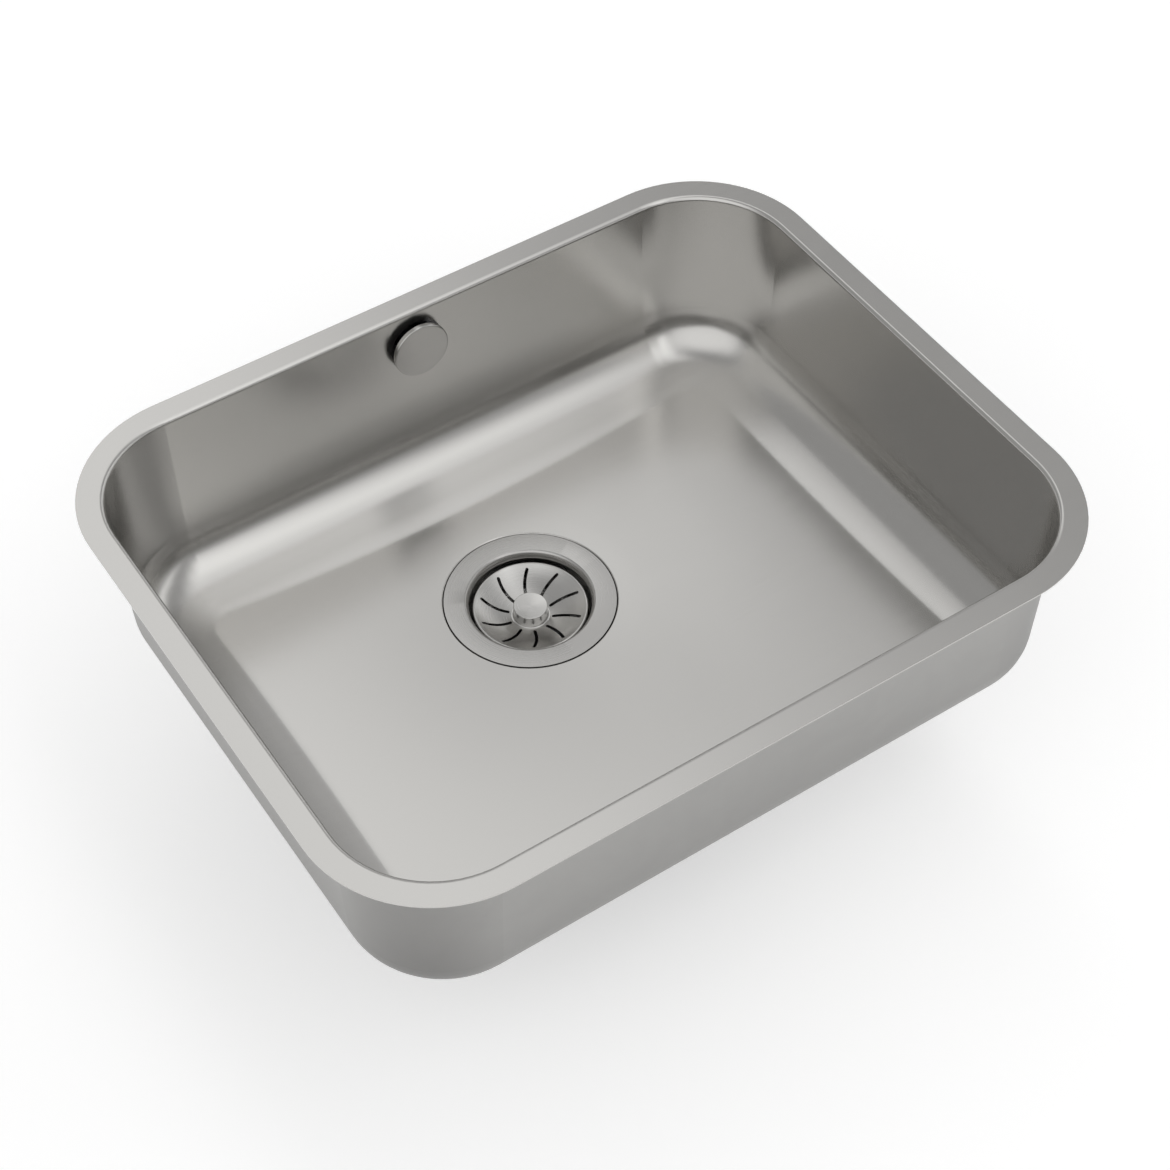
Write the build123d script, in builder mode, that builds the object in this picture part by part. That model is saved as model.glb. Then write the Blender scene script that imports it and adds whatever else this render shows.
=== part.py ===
from build123d import *
import os
from math import asin, atan2, cos, degrees, hypot, isclose, radians, sin, sqrt, tan

os.makedirs("parts", exist_ok=True)

# Undermount kitchen sink: one pressed stainless bowl with a flat rim that is fixed
# under a worktop, a basket strainer waste in its floor and an overflow in its back
# wall. Millimetres, +Z up, +Y to the back wall, +X along the long side. The origin is
# the centre of the bowl's mouth, in the plane of the rim's top face.

# ---------------------------------------------------------------- driving sizes
# Bowl
rim_length = 535.0
rim_width = 432.0
rim_corner = 85.0
sheet = 1.0
ledge = 17.5  # from the rim's edge to the inner face of the wall
bend_radius = 3.0  # the roll from the rim into the wall, on its inner side
bowl_depth = 135.0  # from the rim's top face to the lowest point of the floor
draft = 2.2  # degrees that the walls lean inwards going down
fall = 2.5  # how far the floor falls to the drain, along the sink
fall_across = 1.05  # and across it
fall_reach = 250.0  # both over this distance from the drain
foot_rise = 10.9  # from the lowest point of the floor to where wall and foot would meet
foot_radius = 31.0  # between the walls and the foot
foot_slope = 12.5  # degrees, all round the floor next to the walls
foot_width = 32.2
ramp_slope = 8.5  # degrees, from the foot down to a crease at the floor's edge
ramp_radius = 190.0  # between the two slopes
ramp_inner = 2.0  # how near the ramp comes to the axis of the bowl's corner

# Sound pad under the floor
pad_length = 330.0
pad_width = 104.0
pad_corner = 16.0
pad_thickness = 2.5
pad_y = -84.0

# Waste: pressed cup with a lip that lies flush in a recess of the floor
drain_x = -10.5
drain_y = 45.0
lip_radius = 57.5
throat_radius = 43.0
throat_taper = 1.5  # how much the cup narrows from its throat to its floor
lip_roll = 2.5
cup_corner = 5.0
cup_depth = 38.0
cup_sheet = 1.0
upper_seal_thickness = 1.5
lower_seal_thickness = 3.0
recess_gap = 0.6  # round the lip
recess_edge = 0.9  # rounding at the top and foot of the recess
drain_hole_gap = 1.0  # between the cup and the hole in the bowl's floor
window_count = 6  # outlet windows in the cup's floor
window_inner = 13.0
window_outer = 27.0
window_web = 4.0

# Strainer: dished plate with swirled slots, lifted by its knob
strainer_radius = 38.8
rim_drop = 7.0  # from the lip's top to the strainer's rim
dish_sheet = 0.8
dish_curve = 72.0  # radius of the dished part, whose centre is on the drain's axis
dish_roll = 1.2  # the turned-over edge
dish_skirt = 1.6
hub_flat = 13.0  # radius of the flat under the knob
slot_count = 10
slot_width = 2.2
slot_inner = (15.3, 31.7)  # radius and angle of a slot's inner end
slot_middle = (24.8, 30.5)
slot_outer = (33.5, 25.3)
knob_radius = 11.5
knob_drop = 6.6  # from the lip's top to the knob's top
knob_foot = 0.9  # the small flare round the knob's base
knob_edge = 0.5
knob_hollow = 0.35  # how much the knob's top is dished
stud_radius = 2.5
stud_length = 6.0

# Plug under the strainer: moulded hub with a plate that carries the sealing ring
hub_radius = 8.5
plate_radius = 24.0
plate_thickness = 2.0
seal_inner = 20.5
seal_outer = 31.0
seal_under = 2.5  # rubber between the plate and the cup's floor
seal_over = 1.5  # lip of the ring above the plate
hub_rib_count = 6
hub_rib_width = 1.6
hub_rib_height = 9.0
catch_height = 1.5
catch_depth = 1.4
catch_gap = 2.0  # opening of the split ring
catch_rise = 3.0  # from the plate's underside to the ring

# Fixing screw of the waste: its head is the post that guides the plug
post_radius = 5.0
post_gap = 1.0  # over the post when the plug is down
collar_radius = 9.0
collar_height = 2.0
drive_slot = 1.6
shank_radius = 4.0
insert_radius = 6.5
insert_length = 16.0
boss_wall = 3.5
boss_drop = 7.0  # from the cup's underside to the boss
screw_overrun = 2.0  # past the insert

# Waste body: moulded funnel under the floor, with a side inlet for the overflow
body_wall = 3.0
body_gap = 3.0  # between the cup and the body
body_flange_overhang = 6.0
body_flange_thickness = 4.0
gusset_count = 12
gusset_width = 2.0
gusset_height = 9.0
inlet_drop = 13.0  # from the cup's underside to the inlet's axis
inlet_reach = 30.0  # how far the inlet stands out of the body
cone_height = 14.0
outlet_radius = 23.9  # crests of the 1 1/2 inch pipe thread
outlet_bore = 20.0
outlet_length = 26.0
rib_width = 3.0
boss_rib_count = 3

# Overflow: plain round disc in front of a hole high in the back wall
overflow_x = 0.0
overflow_z = -29.0
overflow_hole = 18.5
disc_radius = 20.2
disc_standoff = 8.0  # from the wall to the disc's front
disc_sheet = 0.8
disc_skirt = 3.0
disc_edge = 1.0
carrier_width = 9.0
carrier_bearing = 1.0  # how far the bar laps over the wall at each end
carrier_bar = 2.5
carrier_head = 9.5
carrier_turn = 45.0  # degrees, where the disc hides the bar's ends
bolt_radius = 2.5
bolt_head_radius = 4.6
bolt_head_height = 3.0
gasket_thickness = 2.0
gasket_lap = 6.5  # how far the gasket reaches past the hole
elbow_flange_thickness = 3.0
funnel_length = 7.0
elbow_bore = 11.5
elbow_wall = 2.5
elbow_bend = 15.0
elbow_boss = 6.2
elbow_boss_start = 3.0  # behind the gasket
elbow_insert_radius = 3.8
elbow_insert_length = 9.0
spigot_length = 24.0

# Overflow hose: ribbed, with a plain cuff at each end, held by nuts on both spigots
cuff_radius = 10.2
hose_crest = 11.5
hose_valley = 9.4
hose_bore = 8.0
cuff_length = 18.0
cuff_insertion = 10.0
hose_bend = 60.0
rib_pitch = 4.6
rib_flank = 0.9  # length of a rib's slope
nut_wall = 3.5
nut_overlap = 11.0  # length of the nut on its spigot
nut_end = 2.5
nut_rib_count = 10
nut_rib_width = 2.4
nut_rib_height = 1.2
washer_length = 3.0

# Clearances
running = 0.08  # plug on its post
thread_gap = 0.05
slip = 0.2  # parts pushed together by hand
reach_past = 5.0  # how far a cutting shape runs past what it cuts

# ---------------------------------------------------------------- derived levels
floor_z = -bowl_depth
curve_along = fall_reach**2 / (2 * fall)  # radii of the floor along and across the sink
curve_across = fall_reach**2 / (2 * fall_across)
bowl_length = rim_length - 2 * ledge
bowl_width = rim_width - 2 * ledge
bowl_corner = rim_corner - ledge
corner_x = bowl_length / 2 - bowl_corner
corner_y = bowl_width / 2 - bowl_corner

lip_under = floor_z - cup_sheet
recess_floor = lip_under - upper_seal_thickness
recess_radius = lip_radius + recess_gap
pan_under = recess_floor - sheet
body_top = pan_under - lower_seal_thickness
cup_floor = floor_z - cup_depth
cup_under = cup_floor - cup_sheet
cup_outside = throat_radius + cup_sheet
drain_hole = cup_outside + drain_hole_gap
cup_floor_radius = throat_radius - throat_taper

strainer_z = floor_z - rim_drop
# Where the turned-over edge starts, so that it ends at the strainer's radius
dish_rim = (strainer_radius - dish_roll) / (1 + dish_roll / dish_curve)
rim_slope = degrees(asin(dish_rim / dish_curve))
hub_slope = degrees(asin(hub_flat / dish_curve))
dish_top_centre = strainer_z + sqrt(dish_curve**2 - dish_rim**2)
hub_z = dish_top_centre - sqrt(dish_curve**2 - hub_flat**2)
knob_top = floor_z - knob_drop
knob_flat = knob_radius - knob_edge
knob_hollow_curve = (knob_flat**2 + knob_hollow**2) / (2 * knob_hollow)
plug_top = hub_z - dish_sheet
plate_under = cup_floor + seal_under
plate_top = plate_under + plate_thickness
plug_bore = post_radius + running
bore_top = plug_top - stud_length - dish_sheet
post_top = bore_top - post_gap
collar_top = cup_floor + collar_height

boss_top = cup_under - boss_drop
boss_radius = insert_radius + boss_wall
insert_bottom = boss_top - insert_length
screw_end = insert_bottom - screw_overrun
boss_bottom = screw_end - screw_overrun

body_inside = cup_outside + body_gap
body_outside = body_inside + body_wall
body_flange = body_outside + body_flange_overhang
inlet_z = cup_under - inlet_drop
spigot_radius = elbow_bore + elbow_wall
cone_top = inlet_z - spigot_radius
cone_bottom = cone_top - cone_height
outlet_end = cone_bottom - outlet_length

lean = radians(draft)
overflow_y = bowl_width / 2 + overflow_z * tan(lean)
behind_wall = (0.0, cos(lean), -sin(lean))
down_wall = (0.0, -sin(lean), -cos(lean))

# ---------------------------------------------------------------- working planes
drain_section = Plane(origin=(drain_x, drain_y, 0), x_dir=(1, 0, 0), z_dir=(0, -1, 0))
drain_axis = Axis((drain_x, drain_y, 0), (0, 0, 1))
overflow_face = Plane(
    origin=(overflow_x, overflow_y, overflow_z),
    x_dir=(1, 0, 0),
    z_dir=(0, -cos(lean), sin(lean)),
)
overflow_section = Plane(
    origin=overflow_face.origin, x_dir=(1, 0, 0), z_dir=-overflow_face.y_dir
)
overflow_axis = Axis(overflow_face.origin, overflow_face.z_dir)

# Where the elbow starts to turn down, the centre of its turn and its foot
gasket_back = sheet + gasket_thickness
bend_start = gasket_back + funnel_length
bend_centre_y = overflow_y + bend_start * behind_wall[1] + elbow_bend * down_wall[1]
bend_centre_z = overflow_z + bend_start * behind_wall[2] + elbow_bend * down_wall[2]
spigot_y = bend_centre_y + elbow_bend
spigot_end = bend_centre_z - spigot_length

# The hose runs in the upright plane through the elbow's foot and the drain's axis
hose_run = hypot(overflow_x - drain_x, spigot_y - drain_y)
hose_turn = atan2(spigot_y - drain_y, overflow_x - drain_x)
hose_dir = (cos(hose_turn), sin(hose_turn), 0.0)
hose_side = (sin(hose_turn), -cos(hose_turn), 0.0)
inlet_end = body_outside + inlet_reach
inlet_root = sqrt(body_outside**2 - spigot_radius**2) - slip  # just inside the body
hose_plane = Plane(origin=(drain_x, drain_y, 0), x_dir=hose_dir, z_dir=hose_side)
inlet_plane = Plane(origin=(drain_x, drain_y, inlet_z), x_dir=hose_side, z_dir=hose_dir)
spigot_plane = Plane(
    origin=(overflow_x, spigot_y, bend_centre_z), x_dir=hose_side, z_dir=(0, 0, -1)
)


# ---------------------------------------------------------------- bowl
def grown(corner, above, below, grow):
    """A corner of the bowl's section moved out square to both its sides. Above and
    below are the slopes, in degrees, that meet there."""
    share = grow / (1 + cos(radians(above - below)))
    return (
        corner[0] + share * (sin(radians(above)) + sin(radians(below))),
        corner[1] - share * (cos(radians(above)) + cos(radians(below))),
    )


def above_floor(grow):
    """All that is above the floor's grown surface, as a solid that reaches well past
    the bowl: the floor's arc along the sink, swung through its arc across it."""
    swing = degrees(asin(rim_width / curve_across))
    axis_point = (drain_x, drain_y, floor_z + curve_across)
    start = Plane(
        origin=axis_point,
        x_dir=(1, 0, 0),
        z_dir=(0, -cos(radians(swing)), -sin(radians(swing))),
    )
    arc_centre = curve_along - curve_across
    spread = degrees(asin(rim_length / curve_along))
    with BuildPart() as block:
        with BuildSketch(start):
            with BuildLine():
                arc = CenterArc(
                    (0, arc_centre), curve_along + grow, -90 - spread, 2 * spread
                )
                top = reach_past - curve_across - floor_z
                Polyline(arc @ 1, ((arc @ 1).X, top), ((arc @ 0).X, top), arc @ 0)
            make_face()
        revolve(axis=Axis(axis_point, (-1, 0, 0)), revolution_arc=2 * swing)
    return block.part


def bowl_form(grow):
    """The bowl's shape as a closed solid, its mouth in the rim's plane, grown all
    round: drafted walls, a rounded foot and ramp, and a floor that falls to the
    drain. Walls, foot and ramp are one section carried round the bowl's outline."""
    foot = (bowl_corner - (bowl_depth - foot_rise) * tan(lean), floor_z + foot_rise)
    ramp = (foot[0] - foot_width, foot[1] - foot_width * tan(radians(foot_slope)))
    foot = grown(foot, 90 - draft, foot_slope, grow)
    ramp = grown(ramp, foot_slope, ramp_slope, grow)
    ramp_end = ramp[1] - (ramp[0] - ramp_inner) * tan(radians(ramp_slope))
    below = ramp_end - reach_past
    beyond = bowl_corner + grow + reach_past
    corner = (corner_x, corner_y, 0)
    with BuildPart() as surround:
        # One quarter: along half of each side, then round the corner between them
        for outwards, square, side in (
            ((1, 0, 0), (0, -1, 0), corner_y),
            ((0, 1, 0), (1, 0, 0), -corner_x),
        ):
            with BuildSketch(Plane(corner, x_dir=outwards, z_dir=square)) as section:
                with BuildLine():
                    skin = FilletPolyline(
                        (bowl_corner + grow / cos(lean), 0),
                        foot,
                        ramp,
                        (ramp_inner, ramp_end),
                        radius=[foot_radius + grow, ramp_radius + grow],
                    )
                    Polyline(
                        skin @ 1, (ramp_inner, below), (beyond, below), (beyond, 0), skin @ 0
                    )
                make_face()
            extrude(amount=side)
        revolve(section.sketch, axis=Axis(corner, (0, 0, -1)), revolution_arc=90)
        mirror(about=Plane.XZ)
        mirror(about=Plane.YZ)
    with BuildPart() as form:
        with BuildSketch(Plane.XY):
            RectangleRounded(
                bowl_length + 2 * grow, bowl_width + 2 * grow, bowl_corner + grow
            )
        extrude(amount=-bowl_depth - reach_past)
        add(above_floor(grow), mode=Mode.INTERSECT)
        add(surround.part, mode=Mode.SUBTRACT)
    return form.part


bowl_outside = bowl_form(sheet)
bowl_inside = bowl_form(0)

with BuildPart() as bowl:
    with BuildSketch(Plane.XY.offset(-sheet)):
        RectangleRounded(rim_length, rim_width, rim_corner)
    extrude(amount=sheet)
    add(bowl_outside)
    rim_under = bowl.faces().filter_by(Plane.XY).sort_by(Axis.Z)[-2]
    fillet(rim_under.inner_wires()[0].edges(), bend_radius - sheet)
    # The pan in which the waste's lip lies
    with BuildSketch(Plane.XY.offset(pan_under)):
        with Locations((drain_x, drain_y)):
            Circle(recess_radius + sheet)
    extrude(amount=recess_floor - pan_under + reach_past)
    pan_foot = bowl.faces().sort_by(Axis.Z)[0]
    fillet(pan_foot.edges(), recess_edge + sheet)
    add(bowl_inside, mode=Mode.SUBTRACT)
    rim_top = bowl.faces().sort_by(Axis.Z)[-1]
    fillet(rim_top.inner_wires()[0].edges(), bend_radius)
    with BuildSketch(Plane.XY.offset(recess_floor)):
        with Locations((drain_x, drain_y)):
            Circle(recess_radius)
    extrude(amount=reach_past, mode=Mode.SUBTRACT)
    round_walls = bowl.faces().filter_by(GeomType.CYLINDER)
    recess_wall = round_walls.filter_by(lambda wall: isclose(wall.radius, recess_radius))[0]
    fillet(recess_wall.edges().filter_by(lambda e: e.length > recess_radius), recess_edge)
    with BuildSketch(Plane.XY.offset(pan_under)):
        with Locations((drain_x, drain_y)):
            Circle(drain_hole)
    extrude(amount=recess_floor - pan_under, mode=Mode.SUBTRACT)
    with BuildSketch(overflow_face.offset(reach_past)):
        Circle(overflow_hole)
    extrude(amount=-2 * reach_past, mode=Mode.SUBTRACT)
bowl.part.label = "bowl"
export_step(bowl.part, "parts/bowl.step")

# Damping pad stuck to the underside of the floor, in front of the waste
with BuildPart() as sound_pad:
    with BuildSketch(Plane.XY.offset(floor_z - sheet - pad_thickness - reach_past)):
        with Locations((0, pad_y)):
            RectangleRounded(pad_length, pad_width, pad_corner)
    extrude(amount=fall + 2 * reach_past + pad_thickness)
    add(above_floor(sheet + pad_thickness), mode=Mode.INTERSECT)
    add(above_floor(sheet), mode=Mode.SUBTRACT)
sound_pad.part.label = "sound_pad"
export_step(sound_pad.part, "parts/sound_pad.step")

# ---------------------------------------------------------------- waste
with BuildPart() as waste_flange:
    with BuildSketch(drain_section):
        with BuildLine():
            skin = FilletPolyline(
                (lip_radius, floor_z),
                (throat_radius, floor_z),
                (cup_floor_radius, cup_floor),
                (shank_radius + slip, cup_floor),
                radius=[lip_roll, cup_corner],
            )
            offset(skin, amount=cup_sheet, side=Side.LEFT)
        make_face()
    revolve(axis=drain_axis)
    # Windows between the webs that carry the screw
    with BuildSketch(Plane.XY.offset(cup_under)):
        with Locations((drain_x, drain_y)):
            Circle(window_outer)
            Circle(window_inner, mode=Mode.SUBTRACT)
            with PolarLocations(0, window_count):
                Rectangle(
                    2 * window_outer,
                    window_web,
                    align=(Align.MIN, Align.CENTER),
                    mode=Mode.SUBTRACT,
                )
    extrude(amount=cup_sheet, mode=Mode.SUBTRACT)
waste_flange.part.label = "waste_flange"
export_step(waste_flange.part, "parts/waste_flange.step")

# Seals under the lip and under the pan
with BuildPart() as upper_seal:
    with BuildSketch(Plane.XY.offset(recess_floor)):
        with Locations((drain_x, drain_y)):
            Circle(lip_radius - recess_edge)
            Circle(cup_outside + lip_roll, mode=Mode.SUBTRACT)
    extrude(amount=upper_seal_thickness)
upper_seal.part.label = "upper_seal"
export_step(upper_seal.part, "parts/upper_seal.step")

with BuildPart() as lower_seal:
    with BuildSketch(Plane.XY.offset(body_top)):
        with Locations((drain_x, drain_y)):
            Circle(recess_radius - recess_edge - sheet)
            Circle(drain_hole, mode=Mode.SUBTRACT)
    extrude(amount=lower_seal_thickness)
lower_seal.part.label = "lower_seal"
export_step(lower_seal.part, "parts/lower_seal.step")

with BuildPart() as waste_body:
    with BuildSketch(drain_section):
        with BuildLine():
            Polyline(
                (body_inside, body_top),
                (body_flange, body_top),
                (body_flange, body_top - body_flange_thickness),
                (body_outside, body_top - body_flange_thickness),
                (body_outside, cone_top),
                (outlet_radius, cone_bottom),
                (outlet_radius, outlet_end),
                (outlet_bore, outlet_end),
                (outlet_bore, cone_bottom),
                (body_inside, cone_top),
                close=True,
            )
        make_face()
    revolve(axis=drain_axis)
    # Gussets under the flange
    with BuildSketch(Plane.XY.offset(body_top - body_flange_thickness)):
        with Locations((drain_x, drain_y)):
            with PolarLocations(body_outside - body_wall / 2, gusset_count):
                Rectangle(
                    body_flange_overhang, gusset_width, align=(Align.MIN, Align.CENTER)
                )
    extrude(amount=-gusset_height)
    # Inlet for the overflow
    with BuildSketch(inlet_plane.offset(inlet_root)):
        Circle(spigot_radius)
    extrude(amount=inlet_end - inlet_root)
    with BuildSketch(inlet_plane.offset(body_inside - reach_past)):
        Circle(hose_bore)
    extrude(amount=inlet_end - body_inside + reach_past, mode=Mode.SUBTRACT)
    with BuildSketch(inlet_plane.offset(inlet_end)):
        Circle(cuff_radius + slip)
    extrude(amount=-cuff_insertion, mode=Mode.SUBTRACT)
    # Boss for the threaded insert, carried by ribs that leave the inlet free
    with BuildSketch(Plane.XY.offset(boss_bottom)):
        with Locations((drain_x, drain_y)):
            Circle(boss_radius)
            with PolarLocations(
                0, boss_rib_count, start_angle=degrees(hose_turn) + 180 / boss_rib_count
            ):
                Rectangle(
                    body_inside + body_wall / 2, rib_width, align=(Align.MIN, Align.CENTER)
                )
    extrude(amount=boss_top - boss_bottom)
    with BuildSketch(Plane.XY.offset(boss_top)):
        with Locations((drain_x, drain_y)):
            Circle(insert_radius)
    extrude(amount=-insert_length, mode=Mode.SUBTRACT)
    with BuildSketch(Plane.XY.offset(insert_bottom)):
        with Locations((drain_x, drain_y)):
            Circle(shank_radius + slip)
    extrude(amount=boss_bottom - insert_bottom, mode=Mode.SUBTRACT)
waste_body.part.label = "waste_body"
export_step(waste_body.part, "parts/waste_body.step")

with BuildPart() as waste_insert:
    with BuildSketch(Plane.XY.offset(insert_bottom)):
        with Locations((drain_x, drain_y)):
            Circle(insert_radius)
            Circle(shank_radius + thread_gap, mode=Mode.SUBTRACT)
    extrude(amount=insert_length)
waste_insert.part.label = "waste_insert"
export_step(waste_insert.part, "parts/waste_insert.step")

# The screw's collar holds the cup down, its head is the post for the plug
with BuildPart() as waste_screw:
    with BuildSketch(drain_section):
        with BuildLine():
            Polyline(
                (0, screw_end),
                (shank_radius, screw_end),
                (shank_radius, cup_floor),
                (collar_radius, cup_floor),
                (collar_radius, collar_top),
                (post_radius, collar_top),
                (post_radius, post_top),
                (0, post_top),
                close=True,
            )
        make_face()
    revolve(axis=drain_axis)
    with BuildSketch(Plane.XY.offset(post_top)):
        with Locations((drain_x, drain_y)):
            Rectangle(2 * post_radius, drive_slot)
    extrude(amount=-drive_slot, mode=Mode.SUBTRACT)
waste_screw.part.label = "waste_screw"
export_step(waste_screw.part, "parts/waste_screw.step")


# ---------------------------------------------------------------- strainer
def polar(place):
    """A point given as radius and angle in degrees."""
    reach, turn = place
    return (reach * cos(radians(turn)), reach * sin(radians(turn)))


slot_line = ThreePointArc(polar(slot_inner), polar(slot_middle), polar(slot_outer))

with BuildPart() as strainer_dish:
    with BuildSketch(drain_section):
        with BuildLine():
            flat = Line((stud_radius + slip, hub_z), (hub_flat, hub_z))
            slope = CenterArc(
                (0, dish_top_centre),
                dish_curve,
                hub_slope - 90,
                rim_slope - hub_slope,
            )
            turn_over = JernArc(slope @ 1, slope % 1, dish_roll, -90 - rim_slope)
            skirt = Line(turn_over @ 1, turn_over @ 1 - Vector(0, dish_skirt))
            offset(
                Wire([flat, slope, turn_over, skirt]), amount=dish_sheet, side=Side.RIGHT
            )
        make_face()
    revolve(axis=drain_axis)
    with BuildSketch(Plane.XY.offset(strainer_z)):
        with Locations((drain_x, drain_y)):
            with PolarLocations(0, slot_count):
                SlotArc(slot_line, slot_width)
    extrude(amount=hub_z - strainer_z - reach_past, mode=Mode.SUBTRACT)
strainer_dish.part.label = "strainer_dish"
export_step(strainer_dish.part, "parts/strainer_dish.step")

with BuildPart() as strainer_knob:
    with BuildSketch(drain_section):
        with BuildLine():
            side = Polyline(
                (0, hub_z - dish_sheet - stud_length),
                (stud_radius, hub_z - dish_sheet - stud_length),
                (stud_radius, hub_z),
                (knob_radius + knob_foot, hub_z),
            )
            foot = RadiusArc(side @ 1, (knob_radius, hub_z + knob_foot), knob_foot)
            wall = Line(foot @ 1, (knob_radius, knob_top - knob_edge))
            edge = RadiusArc(wall @ 1, (knob_flat, knob_top), -knob_edge)
            top = RadiusArc(edge @ 1, (0, knob_top - knob_hollow), knob_hollow_curve)
            Line(top @ 1, side @ 0)
        make_face()
    revolve(axis=drain_axis)
strainer_knob.part.label = "strainer_knob"
export_step(strainer_knob.part, "parts/strainer_knob.step")

# Moulded hub: takes the knob's stud above, slides on the post below
with BuildPart() as plug_hub:
    with BuildSketch(drain_section):
        with BuildLine():
            Polyline(
                (plug_bore, plate_under),
                (plate_radius, plate_under),
                (plate_radius, plate_top),
                (hub_radius, plate_top),
                (hub_radius, plug_top),
                (stud_radius + thread_gap, plug_top),
                (stud_radius + thread_gap, plug_top - stud_length),
                (0, plug_top - stud_length),
                (0, bore_top),
                (plug_bore, bore_top),
                close=True,
            )
        make_face()
    revolve(axis=drain_axis)
    with BuildSketch(Plane.XY.offset(plate_top)):
        with Locations((drain_x, drain_y)):
            with PolarLocations(hub_radius - running, hub_rib_count):
                Rectangle(
                    seal_inner - hub_radius, hub_rib_width, align=(Align.MIN, Align.CENTER)
                )
    extrude(amount=hub_rib_height)
    # Groove of the catch ring
    with BuildSketch(Plane.XY.offset(plate_under + catch_rise)):
        with Locations((drain_x, drain_y)):
            Circle(plug_bore + catch_depth)
    extrude(amount=catch_height + slip, mode=Mode.SUBTRACT)
plug_hub.part.label = "plug_hub"
export_step(plug_hub.part, "parts/plug_hub.step")

with BuildPart() as plug_seal:
    with BuildSketch(drain_section):
        with BuildLine():
            Polyline(
                (seal_inner, cup_floor),
                (seal_outer, cup_floor),
                (plate_radius, plate_top + seal_over),
                (seal_inner, plate_top + seal_over),
                (seal_inner, plate_top),
                (plate_radius, plate_top),
                (plate_radius, plate_under),
                (seal_inner, plate_under),
                close=True,
            )
        make_face()
    revolve(axis=drain_axis)
plug_seal.part.label = "plug_seal"
export_step(plug_seal.part, "parts/plug_seal.step")

# Split ring in the hub's groove, whose grip on the post holds the strainer raised
with BuildPart() as catch_ring:
    with BuildSketch(Plane.XY.offset(plate_under + catch_rise)):
        with Locations((drain_x, drain_y)):
            Circle(plug_bore + catch_depth - slip)
            Circle(plug_bore - thread_gap / 2, mode=Mode.SUBTRACT)
            Rectangle(
                2 * post_radius, catch_gap, align=(Align.MIN, Align.CENTER), mode=Mode.SUBTRACT
            )
    extrude(amount=catch_height)
catch_ring.part.label = "catch_ring"
export_step(catch_ring.part, "parts/catch_ring.step")

# ---------------------------------------------------------------- overflow
with BuildPart() as overflow_disc:
    with BuildSketch(overflow_section):
        with BuildLine():
            face = FilletPolyline(
                (0, disc_standoff),
                (disc_radius, disc_standoff),
                (disc_radius, disc_standoff - disc_skirt),
                radius=disc_edge,
            )
            offset(face, amount=disc_sheet, side=Side.RIGHT)
        make_face()
    revolve(axis=overflow_axis)
overflow_disc.part.label = "overflow_disc"
export_step(overflow_disc.part, "parts/overflow_disc.step")

# Bar across the hole, whose head the disc clips over and the bolt draws to the wall
with BuildPart() as overflow_carrier:
    with BuildSketch(overflow_face):
        Rectangle(
            2 * (overflow_hole + carrier_bearing), carrier_width, rotation=carrier_turn
        )
    extrude(amount=carrier_bar)
    with BuildSketch(overflow_face):
        Circle(carrier_head)
    extrude(amount=disc_standoff - disc_sheet)
    with BuildSketch(overflow_face):
        Circle(bolt_radius + slip)
    extrude(amount=disc_standoff, mode=Mode.SUBTRACT)
    with BuildSketch(overflow_face.offset(carrier_bar)):
        Circle(bolt_head_radius + slip)
    extrude(amount=disc_standoff, mode=Mode.SUBTRACT)
overflow_carrier.part.label = "overflow_carrier"
export_step(overflow_carrier.part, "parts/overflow_carrier.step")

boss_front = -gasket_back - elbow_boss_start
bolt_end = boss_front - elbow_insert_length

with BuildPart() as overflow_bolt:
    with BuildSketch(overflow_face.offset(carrier_bar)):
        Circle(bolt_head_radius)
    extrude(amount=bolt_head_height)
    with BuildSketch(overflow_face.offset(carrier_bar)):
        Circle(bolt_radius)
    extrude(amount=bolt_end - carrier_bar)
    with BuildSketch(overflow_face.offset(carrier_bar + bolt_head_height)):
        Rectangle(2 * bolt_head_radius, drive_slot)
    extrude(amount=-drive_slot, mode=Mode.SUBTRACT)
overflow_bolt.part.label = "overflow_bolt"
export_step(overflow_bolt.part, "parts/overflow_bolt.step")

with BuildPart() as overflow_gasket:
    with BuildSketch(overflow_face.offset(-gasket_back)):
        Circle(overflow_hole + gasket_lap)
        Circle(overflow_hole, mode=Mode.SUBTRACT)
    extrude(amount=gasket_thickness)
overflow_gasket.part.label = "overflow_gasket"
export_step(overflow_gasket.part, "parts/overflow_gasket.step")


def elbow_form(mouth, tube, start):
    """One skin of the elbow as a solid: a funnel behind the wall, a turn down and a
    straight spigot, with the given radii of mouth and tube."""
    turn_axis = Axis((overflow_x, bend_centre_y, bend_centre_z), (-1, 0, 0))
    with BuildPart() as form:
        with BuildSketch(overflow_section):
            with BuildLine():
                Polyline(
                    (0, start), (mouth, start), (tube, -bend_start), (0, -bend_start), close=True
                )
            make_face()
        revolve(axis=overflow_axis)
        with BuildSketch(overflow_face.offset(-bend_start)):
            Circle(tube)
        revolve(axis=turn_axis, revolution_arc=90 - draft)
        with BuildSketch(spigot_plane):
            Circle(tube)
        extrude(amount=spigot_length)
    return form.part


elbow_outside = elbow_form(
    overflow_hole + elbow_wall, elbow_bore + elbow_wall, -gasket_back
)
elbow_inside = elbow_form(overflow_hole, elbow_bore, -gasket_back)

with BuildPart() as elbow_core:
    with BuildSketch(overflow_face.offset(boss_front)):
        Circle(elbow_boss)
    extrude(amount=-bend_start - elbow_bend)
    add(elbow_outside, mode=Mode.INTERSECT)

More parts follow.
